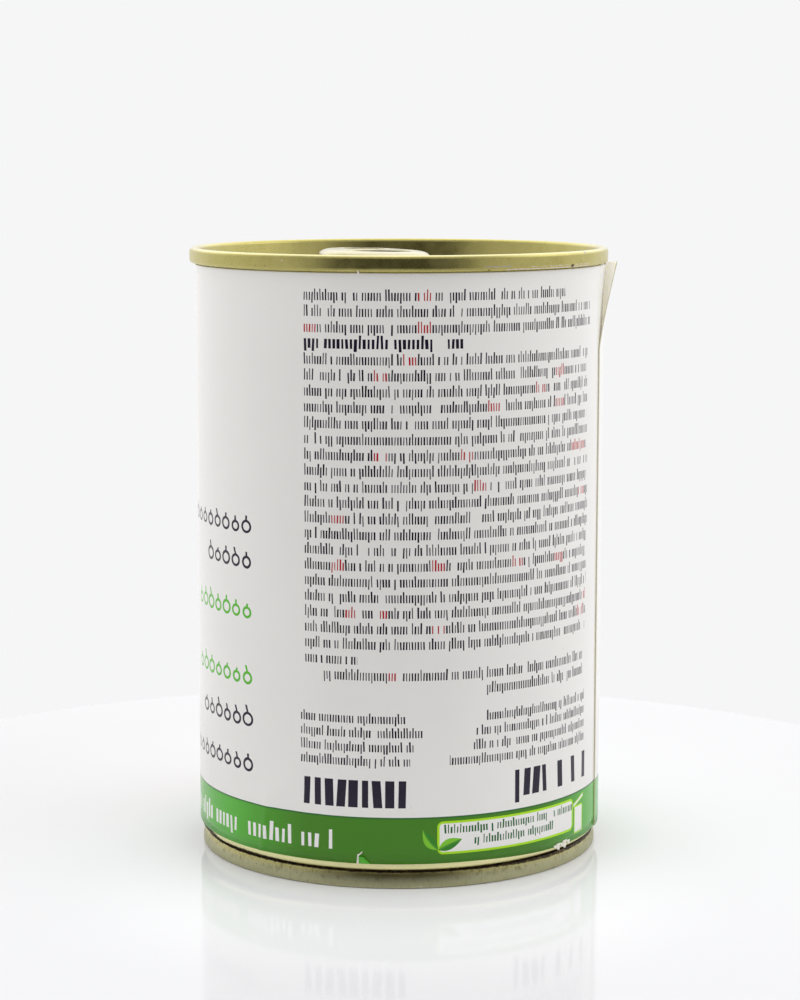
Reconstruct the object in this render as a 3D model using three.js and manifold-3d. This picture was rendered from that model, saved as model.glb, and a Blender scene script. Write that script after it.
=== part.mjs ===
// A 400 g tin of tomatoes: gold-lacquered tinplate, an easy-open lid with a ring pull,
// a stepped-in foot that nests in the lid of the tin below, and a wrapped paper label.
// Millimetres, +Z up. The tin stands on z = 0, its axis is the Z axis and its front faces -Y.

import * as THREE from "three";
import { mergeVertices } from "three/addons/utils/BufferGeometryUtils.js";
import Module from "manifold-3d";

const wasm = await Module();
wasm.setup();

// Driving dimensions of the tin.
const tinHeight = 110;
const bodyRadius = 36.75;
const sheet = 0.35;
const clearance = 0.2;
const roundSteps = 64;

// The lid and the double seam that holds it.
const topSeamRadius = 38.05;
const topSeamHeight = 2.7;
const seamWidth = 1.6;
const seamCorner = 0.5;
const panelDepth = 3.2;
const panelRadius = 33.7;
const grooveRadius = 34.9;
const grooveBend = 0.6;
const grooveDepth = 1.2;
const lidBead = { radius: 27.2, width: 1.9, slope: 0.5, depth: 0.3 };

// The bottom end, its double seam and the neck above it.
const footSeamRadius = 36.5;
const footSeamHeight = 2.85;
const footCorner = 0.45;
const footFlat = { inner: 35.3, outer: 36.05 };
const basePanelHeight = 3.3;
const basePanelRadius = 32.4;
const baseGrooveRadius = 33.6;
const baseBeads = [
  { radius: 17, width: 3.4, slope: 0.6, depth: 0.45 },
  { radius: 25, width: 3.4, slope: 0.6, depth: 0.45 },
];
const neckRadius = 35.45;
const neckWall = 0.45;
const neckHeight = 3.1;
const neckBend = 0.6;

// The ring pull, drawn with its rivet at the origin and its nose along +X.
const pullAngle = THREE.MathUtils.degToRad(109);
const pullTilt = THREE.MathUtils.degToRad(1.2);
const rivetRadius = 23;
const pull = {
  halfWidth: 10.6,
  ringCentre: -8.1,
  noseLength: 15.3,
  squareness: 2.6,
  thickness: 1.55,
  lift: 0.4,
  edge: 0.45,
};
const fingerHole = { centre: -10.35, halfLength: 4.75, halfWidth: 6.9 };
const rivet = {
  stem: 1.7,
  stemHole: 2.1,
  head: 2.9,
  headThickness: 0.65,
  headGap: 0.25,
  pocket: 4.3,
  pocketFloor: 0.45,
};

// The paper label: it starts and ends on the right side, the outer end over the inner one.
const paper = 0.15;
const labelGap = 0.1;
const layerGap = 0.05;
const labelTop = 107;
const labelBottom = 4.6;
const labelStart = 1;
const labelSweep = 376;
const lapRise = { from: 350, to: 359 };
const labelColumns = 80;
const labelRows = 7;
const labelRowCrowding = 2.6;
const looseCorner = {
  from: 38,
  foot: 95.5,
  lift: 2.2,
  rise: 1.4,
  skew: 1.3,
  turn: 0.86,
};

const goldTinplate = { color: 0xa59d5f, roughness: 0.34, metalness: 1 };
const palePullMetal = { color: 0xd9d3b4, roughness: 0.3, metalness: 1 };
const labelPaper = { color: 0xdddbd6, roughness: 0.55, metalness: 0 };

const point = (radius, height) => new THREE.Vector2(radius, height);

// An arc of a profile, its angles in degrees from the outward direction.
function arc(radius, height, bend, from, to, steps) {
  return Array.from({ length: steps + 1 }, (_, i) => {
    const angle = THREE.MathUtils.degToRad(from + ((to - from) * i) / steps);
    return point(radius + bend * Math.cos(angle), height + bend * Math.sin(angle));
  });
}

// The four points of a pressed ring in a flat panel; a positive depth goes down.
function beadPoints(bead, panelHeight) {
  const inner = bead.radius - bead.width / 2;
  const outer = bead.radius + bead.width / 2;
  return [
    point(inner, panelHeight),
    point(inner + bead.slope, panelHeight - bead.depth),
    point(outer - bead.slope, panelHeight - bead.depth),
    point(outer, panelHeight),
  ];
}

// Turns a profile, listed anticlockwise, round the tin's axis.
function turned(profile, steps = roundSteps) {
  return new THREE.LatheGeometry(profile, steps).rotateX(Math.PI / 2);
}

function solidOf(geometry) {
  const bare = geometry.clone();
  bare.deleteAttribute("normal");
  bare.deleteAttribute("uv");
  const merged = mergeVertices(bare, 1e-3);
  return new wasm.Manifold(
    new wasm.Mesh({
      numProp: 3,
      vertProperties: merged.attributes.position.array,
      triVerts: new Uint32Array(merged.index.array),
    }),
  );
}

function geometryOf(solid) {
  const mesh = solid.getMesh();
  const geometry = new THREE.BufferGeometry();
  geometry.setAttribute("position", new THREE.BufferAttribute(mesh.vertProperties, 3));
  geometry.setIndex(new THREE.BufferAttribute(mesh.triVerts, 1));
  geometry.computeVertexNormals();
  return geometry;
}

function subPart(name, geometry, look) {
  const mesh = new THREE.Mesh(geometry, new THREE.MeshStandardMaterial(look));
  mesh.name = name;
  return mesh;
}

// The wall stepped in above the foot, its filled inside, and the wall's end inside the top seam.
function bodyGeometry() {
  const panelUnder = tinHeight - panelDepth - sheet - clearance;
  const grooveUnder = tinHeight - panelDepth - grooveDepth - sheet - clearance;
  const grooveReach = grooveBend + sheet + clearance;
  const wallTop = tinHeight - panelDepth;
  const wallInner = topSeamRadius - seamWidth + clearance / 2;
  const baseOver = basePanelHeight + sheet + clearance;
  const baseGrooveOver = basePanelHeight + grooveDepth + sheet + clearance;
  const neckInner = neckRadius - neckWall;
  const neckEnd = footSeamHeight + clearance;
  return turned([
    point(0, baseOver),
    point(baseGrooveRadius - grooveReach, baseOver),
    point(baseGrooveRadius - grooveReach, baseGrooveOver),
    point(neckInner - clearance, baseGrooveOver),
    point(neckInner, neckEnd),
    point(neckRadius, neckEnd),
    point(neckRadius, neckHeight),
    ...arc(bodyRadius - neckBend, neckHeight + neckBend, neckBend, -90, 0, 4),
    point(bodyRadius, wallTop),
    point(wallInner, wallTop),
    point(grooveRadius + grooveReach, grooveUnder),
    point(grooveRadius - grooveReach, grooveUnder),
    point(grooveRadius - grooveReach, panelUnder),
    point(0, panelUnder),
  ]);
}

// The panel, the countersink groove and the double seam, seen in section.
function lidProfile() {
  const panel = tinHeight - panelDepth;
  const grooveMiddle = panel - grooveDepth + grooveBend;
  const wallTop = topSeamRadius - seamWidth;
  const crown = seamWidth / 2;
  const seamFoot = tinHeight - topSeamHeight;
  return [
    point(0, panel - sheet),
    point(grooveRadius - grooveBend - sheet, panel - sheet),
    ...arc(grooveRadius, grooveMiddle, grooveBend + sheet, -180, 0, 4),
    point(wallTop - clearance, seamFoot),
    ...arc(topSeamRadius - seamCorner, seamFoot + seamCorner, seamCorner, -90, 0, 3),
    ...arc(topSeamRadius - crown, tinHeight - crown, crown, 0, 180, 6),
    ...arc(grooveRadius, grooveMiddle, grooveBend, 0, -180, 4),
    ...arc(panelRadius, panel - grooveBend, grooveBend, 0, 90, 2),
    ...beadPoints(lidBead, panel).reverse(),
    point(0, panel),
  ];
}

function rivetProfile() {
  const panel = tinHeight - panelDepth;
  const headUnder = panel + pull.lift + rivet.pocketFloor + rivet.headGap;
  const headTop = headUnder + rivet.headThickness;
  const rounding = rivet.headThickness / 3;
  return [
    point(0, panel - sheet / 2),
    point(rivet.stem, panel - sheet / 2),
    point(rivet.stem, headUnder),
    point(rivet.head, headUnder),
    point(rivet.head, headTop - rounding),
    point(rivet.head - rounding, headTop),
    point(0, headTop),
  ];
}

function lidGeometry() {
  const place = new THREE.Vector3(rivetRadius * Math.cos(pullAngle), rivetRadius * Math.sin(pullAngle), 0);
  const rivetForm = turned(rivetProfile(), 24).translate(place.x, place.y, place.z);
  return geometryOf(solidOf(turned(lidProfile())).add(solidOf(rivetForm)));
}

// The outline of the pull: a half circle at the ring end and a blunt nose.
function pullOutline(steps) {
  const blunt = (value) => Math.sign(value) * Math.abs(value) ** (2 / pull.squareness);
  return Array.from({ length: steps }, (_, i) => {
    const angle = (2 * Math.PI * i) / steps;
    const along = Math.cos(angle);
    const across = Math.sin(angle);
    if (along < 0) {
      return point(pull.ringCentre + pull.halfWidth * along, pull.halfWidth * across);
    }
    return point(pull.ringCentre + pull.noseLength * blunt(along), pull.halfWidth * blunt(across));
  });
}

function fingerHoleOutline(steps) {
  const blunt = (value) => Math.sign(value) * Math.abs(value) ** (2 / pull.squareness);
  return Array.from({ length: steps }, (_, i) => {
    const angle = (2 * Math.PI * i) / steps;
    return point(
      fingerHole.centre + fingerHole.halfLength * blunt(Math.cos(angle)),
      fingerHole.halfWidth * blunt(Math.sin(angle)),
    );
  });
}

// The pull is a plate with rolled edges, a finger hole and a sunk seat round the rivet.
function ringPullGeometry() {
  const shape = new THREE.Shape(pullOutline(48));
  shape.holes.push(new THREE.Path(fingerHoleOutline(32).reverse()));
  const plate = new THREE.ExtrudeGeometry(shape, {
    depth: pull.thickness - 2 * pull.edge,
    bevelEnabled: true,
    bevelThickness: pull.edge,
    bevelSize: pull.edge,
    bevelOffset: -pull.edge,
    bevelSegments: 2,
    curveSegments: 1,
  }).translate(0, 0, pull.edge);
  const past = pull.thickness + 1;
  const seat = turned([
    point(0, rivet.pocketFloor),
    point(rivet.pocket, rivet.pocketFloor),
    point(rivet.pocket, past),
    point(0, past),
  ], 32);
  const stemHole = turned([
    point(0, -1),
    point(rivet.stemHole, -1),
    point(rivet.stemHole, past),
    point(0, past),
  ], 24);
  return geometryOf(solidOf(plate).subtract(solidOf(seat)).subtract(solidOf(stemHole)));
}

// The panel of the bottom end, its countersink and the seam that the tin stands on.
function baseProfile() {
  const grooveMiddle = basePanelHeight + grooveDepth - grooveBend;
  const seamInner = footFlat.inner - footCorner;
  const topCorner = footSeamRadius - seamCorner;
  return [
    point(0, basePanelHeight),
    ...baseBeads.flatMap((bead) => beadPoints(bead, basePanelHeight)),
    ...arc(basePanelRadius, basePanelHeight + grooveBend, grooveBend, -90, 0, 2),
    ...arc(baseGrooveRadius, grooveMiddle, grooveBend, 180, 0, 4),
    ...arc(footFlat.inner, footCorner, footCorner, 180, 270, 2),
    ...arc(footFlat.outer, footCorner, footCorner, -90, 0, 2),
    ...arc(topCorner, footSeamHeight - seamCorner, seamCorner, 0, 90, 3),
    point(seamInner, footSeamHeight),
    ...arc(baseGrooveRadius, grooveMiddle, grooveBend + sheet, 0, 180, 4),
    point(baseGrooveRadius - grooveBend - sheet, basePanelHeight + sheet),
    point(0, basePanelHeight + sheet),
  ];
}

// How far the label's loose top corner stands off the tin, by angle and height.
function cornerLift(angle, height) {
  const end = labelStart + 360 - labelSweep;
  const along = THREE.MathUtils.clamp((looseCorner.from - angle) / (looseCorner.from - end), 0, 1);
  const up = THREE.MathUtils.clamp((height - looseCorner.foot) / (labelTop - looseCorner.foot), 0, 1);
  const bulge = Math.sin(Math.PI * looseCorner.turn * along ** looseCorner.skew);
  return looseCorner.lift * bulge * up ** looseCorner.rise;
}

// The label is a flat strip, bent round the tin: along its length, up, and through the paper.
function labelGeometry() {
  const strip = new THREE.BoxGeometry(1, 1, 1, labelColumns, labelRows, 1);
  const spots = strip.attributes.position;
  for (let i = 0; i < spots.count; i += 1) {
    const swept = (spots.getX(i) + 0.5) * labelSweep;
    const up = spots.getY(i) + 0.5;
    const rowUp = 1 - (1 - up) ** labelRowCrowding;
    const height = labelBottom + rowUp * (labelTop - labelBottom);
    const lap = THREE.MathUtils.smoothstep(swept, lapRise.from, lapRise.to) * (paper + layerGap);
    const angle = labelStart - swept;
    const lift = swept > 180 ? cornerLift(angle + 360, height) : 0;
    const radius = bodyRadius + labelGap + paper * (0.5 - spots.getZ(i)) + lap + lift;
    const turn = THREE.MathUtils.degToRad(angle);
    spots.setXYZ(i, radius * Math.cos(turn), radius * Math.sin(turn), height);
  }
  return strip;
}

const tin = new THREE.Group();
tin.add(subPart("body", bodyGeometry(), goldTinplate));
tin.add(subPart("lid", lidGeometry(), goldTinplate));
tin.add(subPart("base", turned(baseProfile()), goldTinplate));
tin.add(subPart("label", labelGeometry(), labelPaper));

const ringPull = subPart("ring_pull", ringPullGeometry(), palePullMetal);
ringPull.position.set(
  rivetRadius * Math.cos(pullAngle),
  rivetRadius * Math.sin(pullAngle),
  tinHeight - panelDepth + pull.lift,
);
ringPull.rotation.set(pullTilt, 0, pullAngle, "ZYX");
tin.add(ringPull);

export default tin;
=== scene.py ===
# A shut food tin with a gold lacquer, a ring pull and a wrapped paper label.
# Shapes are worked out in millimetres and become metres when a piece is finished.

import math

import bmesh
import bpy
from mathutils import Matrix, Vector, noise


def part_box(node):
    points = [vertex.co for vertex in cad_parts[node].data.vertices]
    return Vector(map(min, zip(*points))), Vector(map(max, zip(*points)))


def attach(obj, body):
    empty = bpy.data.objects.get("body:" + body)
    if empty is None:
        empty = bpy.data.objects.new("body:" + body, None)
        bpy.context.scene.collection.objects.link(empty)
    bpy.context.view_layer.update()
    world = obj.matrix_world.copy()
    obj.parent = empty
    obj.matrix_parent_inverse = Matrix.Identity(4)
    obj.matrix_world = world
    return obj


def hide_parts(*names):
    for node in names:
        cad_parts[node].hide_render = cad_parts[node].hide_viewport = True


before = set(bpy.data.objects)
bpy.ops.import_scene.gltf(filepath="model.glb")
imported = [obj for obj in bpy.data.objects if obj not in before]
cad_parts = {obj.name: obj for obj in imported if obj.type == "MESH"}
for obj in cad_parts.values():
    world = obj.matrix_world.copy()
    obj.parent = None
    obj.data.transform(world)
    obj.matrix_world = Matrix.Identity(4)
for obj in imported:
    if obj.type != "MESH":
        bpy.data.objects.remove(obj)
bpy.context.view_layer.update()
mm = 0.001
scene = bpy.context.scene


def nodeSize(node):
    low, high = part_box(node)
    return low / mm, high / mm


def finishPiece(name, bm, materials, replaced):
    bmesh.ops.scale(bm, vec=(mm, mm, mm), verts=bm.verts)
    mesh = bpy.data.meshes.new(name)
    bm.to_mesh(mesh)
    bm.free()
    for face in mesh.polygons:
        face.use_smooth = True
    for material in materials:
        mesh.materials.append(material)
    piece = bpy.data.objects.new(name, mesh)
    scene.collection.objects.link(piece)
    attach(piece, "root")
    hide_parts(replaced)
    print("made", name, "with", len(mesh.polygons), "faces")
    return piece


def evenShading(piece):
    shading = piece.modifiers.new("evenShading", "WEIGHTED_NORMAL")
    shading.weight = 60
    shading.keep_sharp = True


# Sections of turned sheet metal

def drawSection(bm, corners, closed):
    # each corner is (radius from the axis, height, rounding)
    spots = [bm.verts.new((radius, 0, height)) for radius, height, _ in corners]
    for here, after in zip(spots, spots[1:]):
        bm.edges.new((here, after))
    if closed:
        bm.edges.new((spots[-1], spots[0]))
    turns = []
    for i, (_, _, rounding) in enumerate(corners):
        before = spots[i].co - spots[i - 1].co
        after = spots[(i + 1) % len(spots)].co - spots[i].co
        turns.append(before.angle(after) if rounding else 0)
    for spot, turn, (_, _, rounding) in zip(spots, turns, corners):
        if rounding:
            bmesh.ops.bevel(
                bm, geom=[spot], offset=rounding * math.tan(turn / 2), offset_type="OFFSET",
                segments=max(2, round(math.degrees(turn) / 13)), profile=0.5,
                affect="VERTICES", material=-1, clamp_overlap=False,
            )


def turnSection(bm, steps):
    bmesh.ops.spin(
        bm, geom=bm.verts[:] + bm.edges[:], cent=(0, 0, 0), axis=(0, 0, 1), dvec=(0, 0, 0),
        angle=2 * math.pi, steps=steps, use_merge=True, use_normal_flip=False, use_duplicate=False,
    )
    bmesh.ops.remove_doubles(bm, verts=bm.verts, dist=0.001)
    bmesh.ops.recalc_face_normals(bm, faces=bm.faces)


def smoothStep(low, high, value):
    share = min(1, max(0, (value - low) / (high - low)))
    return share * share * (3 - 2 * share)


# Small helpers for shader trees

class Flow:
    # a number that flows through a shader tree, so that sums are written as sums
    def __init__(self, tree, source):
        self.tree = tree
        self.source = source

    def math(self, operation, *others):
        node = self.tree.nodes.new("ShaderNodeMath")
        node.operation = operation
        for socket, part in zip(node.inputs, (self, *others)):
            plug(self.tree, part, socket)
        return Flow(self.tree, node.outputs[0])

    def __neg__(self):
        return self * -1

    def __rsub__(self, other):
        return -self + other

    def rise(self, low, high):
        # 0 below low and 1 above high, with a smooth step between them
        node = self.tree.nodes.new("ShaderNodeMapRange")
        node.interpolation_type = "SMOOTHSTEP"
        node.inputs["From Min"].default_value = low
        node.inputs["From Max"].default_value = high
        self.tree.links.new(self.source, node.inputs["Value"])
        return Flow(self.tree, node.outputs["Result"])


operations = {
    "__add__": "ADD", "__radd__": "ADD", "__sub__": "SUBTRACT", "__mul__": "MULTIPLY",
    "__rmul__": "MULTIPLY", "__truediv__": "DIVIDE", "__gt__": "GREATER_THAN", "__lt__": "LESS_THAN",
    "size": "ABSOLUTE", "floor": "FLOOR", "share": "FRACT", "most": "MAXIMUM", "least": "MINIMUM", "root": "SQRT",
}


def addOperation(method, operation):
    setattr(Flow, method, lambda flow, *others: flow.math(operation, *others))


for method, operation in operations.items():
    addOperation(method, operation)


def plug(tree, value, socket):
    if isinstance(value, Flow):
        tree.links.new(value.source, socket)
    elif isinstance(value, bpy.types.NodeSocket):
        tree.links.new(value, socket)
    elif socket.type == "RGBA" and len(value) == 3:
        socket.default_value = (*value, 1)
    else:
        socket.default_value = value


def fill(tree, node, values):
    # plugs the node's inputs, whose names are written in camelCase
    for socket in node.inputs:
        name = socket.name.replace(" ", "")
        name = name[:1].lower() + name[1:]
        if name in values:
            plug(tree, values.pop(name), socket)
    if values:
        raise ValueError(f"{node.name} has no inputs {sorted(values)}")
    return node


def place(tree, kind, **values):
    return fill(tree, tree.nodes.new(kind), values)


def newGroup(name, inputs, outputs):
    # gives the group, its inputs, and the node that takes its outputs
    group = bpy.data.node_groups.new(name, "ShaderNodeTree")
    for label, value in inputs.items():
        kind = "NodeSocketVector" if isinstance(value, tuple) else "NodeSocketFloat"
        socket = group.interface.new_socket(label, in_out="INPUT", socket_type=kind)
        socket.default_value = value
    for label in outputs:
        group.interface.new_socket(label, in_out="OUTPUT", socket_type="NodeSocketFloat")
    entry = group.nodes.new("NodeGroupInput")
    leave = group.nodes.new("NodeGroupOutput")
    return group, [Flow(group, entry.outputs[label]) for label in inputs], leave


def useGroup(tree, group, **values):
    node = tree.nodes.new("ShaderNodeGroup")
    node.node_tree = group
    fill(tree, node, values)
    return {socket.name: Flow(tree, socket) for socket in node.outputs}


def vectorMath(tree, operation, vector, other):
    node = tree.nodes.new("ShaderNodeVectorMath")
    node.operation = operation
    plug(tree, vector, node.inputs[0])
    plug(tree, other, node.inputs["Scale" if operation == "SCALE" else 1])
    return node.outputs[0]


def axes(tree, vector):
    parts = place(tree, "ShaderNodeSeparateXYZ", vector=vector)
    return [Flow(tree, socket) for socket in parts.outputs]


def whiteNoise(tree, *parts):
    spot = place(tree, "ShaderNodeCombineXYZ")
    for part, socket in zip(parts, spot.inputs):
        plug(tree, part, socket)
    dice = place(tree, "ShaderNodeTexWhiteNoise", vector=spot.outputs[0])
    tints = place(tree, "ShaderNodeSeparateColor", color=dice.outputs["Color"])
    return [Flow(tree, dice.outputs["Value"])] + [Flow(tree, socket) for socket in tints.outputs[:3]]


def softNoise(tree, vector, scale, detail=3, roughness=0.55):
    node = place(tree, "ShaderNodeTexNoise", vector=vector, scale=scale, detail=detail, roughness=roughness)
    return Flow(tree, node.outputs["Fac"])


def mixColour(tree, factor, under, over, blend="MIX"):
    node = tree.nodes.new("ShaderNodeMix")
    node.data_type = "RGBA"
    node.blend_type = blend
    plug(tree, factor, node.inputs[0])
    plug(tree, under, node.inputs[6])
    plug(tree, over, node.inputs[7])
    return node.outputs[2]


def srgb(red, green, blue):
    # a colour as a screen shows it, 0 to 255, made linear
    def linear(value):
        value /= 255
        return value / 12.92 if value <= 0.04045 else ((value + 0.055) / 1.055) ** 2.4
    return tuple(linear(value) for value in (red, green, blue))


def newMaterial(name):
    material = bpy.data.materials.new(name)
    material.use_nodes = True
    tree = material.node_tree
    return material, tree, tree.nodes["Principled BSDF"].inputs


def bumpFrom(tree, height, strength, distance):
    node = place(tree, "ShaderNodeBump", height=height, strength=strength, distance=distance)
    return node.outputs["Normal"]


# Shared effects

def makeSpeckleGroup():
    # small scattered flecks: Amount is the share of cells that hold one
    group, entry, leave = newGroup(
        "flecks", {"Vector": (0.0, 0.0, 0.0), "Cell": 1.0, "Amount": 0.2, "Fleck": 0.2, "Seed": 0.0},
        ["Mask"],
    )
    vector, cell, amount, fleck, seed = entry
    scaled = vectorMath(group, "SCALE", vector, cell.math("POWER", -1))
    shifted = vectorMath(group, "ADD", scaled, seed)
    ragged = softNoise(group, shifted, 3.1, detail=2, roughness=0.5)
    cells = place(group, "ShaderNodeTexVoronoi", vector=shifted, scale=1)
    chance = place(group, "ShaderNodeSeparateColor", color=cells.outputs["Color"])
    away = Flow(group, cells.outputs["Distance"]) + (ragged - 0.5) * 0.35
    chosen = amount > Flow(group, chance.outputs["Red"])
    reach = fleck * (Flow(group, chance.outputs["Green"]) + 0.4)
    plug(group, chosen * (reach - away).rise(0, 0.06), leave.inputs["Mask"])
    return group


def makeGrainGroup():
    # fine brushed and mottled metal in millimetres: Tone, Gloss and Height swing round 0.5
    group, entry, leave = newGroup(
        "metalGrain", {"Vector": (0.0, 0.0, 0.0), "Fine": 6.0, "Coarse": 0.35, "Around": 0.25},
        ["Tone", "Gloss", "Height"],
    )
    vector, fine, coarse, around = entry
    squeeze = place(group, "ShaderNodeCombineXYZ", x=around, y=around, z=1.0)
    stretched = vectorMath(group, "MULTIPLY", vector, squeeze.outputs[0])
    fine = softNoise(group, stretched, fine, roughness=0.5)
    coarse = softNoise(group, vector, coarse, detail=4, roughness=0.6)
    plug(group, fine * 0.45 + coarse * 0.55, leave.inputs["Tone"])
    plug(group, coarse * 0.7 + fine * 0.3, leave.inputs["Gloss"])
    plug(group, fine, leave.inputs["Height"])
    return group


def makeDashGroup():
    # a short mark that runs round the tin: Broken is how much of it is missing
    group, entry, leave = newGroup(
        "dashMark",
        {
            "Around": 0.0, "Height": 0.0, "Centre": 0.0, "Level": 0.0,
            "Half Length": 1.0, "Half Height": 0.1, "Broken": 0.3,
        },
        ["Mask"],
    )
    around, height, centre, level, halfLength, halfHeight, broken = entry
    spot = place(group, "ShaderNodeCombineXYZ", x=around, y=level)
    wander = softNoise(group, spot.outputs[0], 1.4)
    missing = softNoise(group, spot.outputs[0], 3.1, detail=2)
    away = (height - level + (wander - 0.5) * halfHeight * 2.5).size()
    body = (halfHeight - away).rise(0, 0.04) * (halfLength - (around - centre).size()).rise(0, 0.2)
    plug(group, body * (missing > broken), leave.inputs["Mask"])
    return group


flecks = makeSpeckleGroup()
metalGrain = makeGrainGroup()
dashMark = makeDashGroup()


def millimetres(tree):
    # the piece's own coordinates in millimetres
    where = place(tree, "ShaderNodeTexCoord")
    return vectorMath(tree, "SCALE", where.outputs["Object"], 1 / mm)


# Gold-lacquered tinplate, and the wall that carries it

wallShape = {
    "radius": 36.75,
    "neckRadius": 35.45,
    "neckBend": 0.8,
    "neckHeight": 3.3,
    "plate": 0.25,
    "hookHeight": 2.6,   # how far down the wall reaches inside the foot seam
    "flange": 37.2,      # where the wall turns out inside the top seam
    "flangeHeight": 107.4,
    "steps": 288,
}
goldFinish = {
    "lacquer": srgb(196, 186, 118),
    "lacquerDeep": srgb(180, 170, 102),
    # painted reflection: the pale strip above the foot seam, as if it mirrored the bright table
    "thinLacquer": srgb(232, 226, 172),
    "dullTin": srgb(180, 178, 142),
    # the next two are painted shade in the recess over the foot seam, black and brown
    "gap": srgb(44, 32, 16),
    "gapBrown": srgb(104, 86, 42),
    # the stain colour also carries painted shade at the top of the foot seam's front
    "stain": srgb(98, 88, 52),
    "bareSteel": srgb(208, 204, 196),
    "scuffPaint": srgb(226, 212, 210),
    # the next two are a painted highlight along the crest of the top seam: pale at the front, deep yellow behind
    "crest": srgb(248, 242, 196),
    "crestDeep": srgb(184, 174, 64),
    "brown": srgb(58, 26, 18),
    "lilac": srgb(176, 170, 182),
    "grime": srgb(62, 46, 22),
    "roughness": 0.3,
    "footTop": 2.95,       # the foot seam lies below this height
    "seamRadius": 38.05,
    "seamInside": 37.2,    # the marks on the top seam lie further out than this
}

# marks on the top seam: millimetres round the tin from its front, height, half length and height
seamMarks = [
    {"at": (17.4, 107.98), "half": (2.7, 0.1), "broken": 0.42, "ink": "lilac"},
    {"at": (32.6, 107.8), "half": (8.4, 0.09), "broken": 0.5, "ink": "scuffPaint"},
    {"at": (30.0, 107.42), "half": (11.0, 0.11), "broken": 0.45, "ink": "scuffPaint"},
    {"at": (34.9, 107.62), "half": (0.5, 0.26), "broken": 0.0, "ink": "brown"},
    {"at": (15.8, 107.4), "half": (0.3, 0.12), "broken": 0.0, "ink": "brown"},
    {"at": (39.3, 109.68), "half": (0.3, 0.24), "broken": 0.0, "ink": "lilac"},
    {"at": (-26.7, 107.9), "half": (0.16, 0.12), "broken": 0.0, "ink": "grime"},
    {"at": (-24.6, 107.9), "half": (0.16, 0.12), "broken": 0.0, "ink": "grime"},
    {"at": (-20.9, 108.9), "half": (0.2, 0.14), "broken": 0.0, "ink": "scuffPaint"},
]


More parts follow.
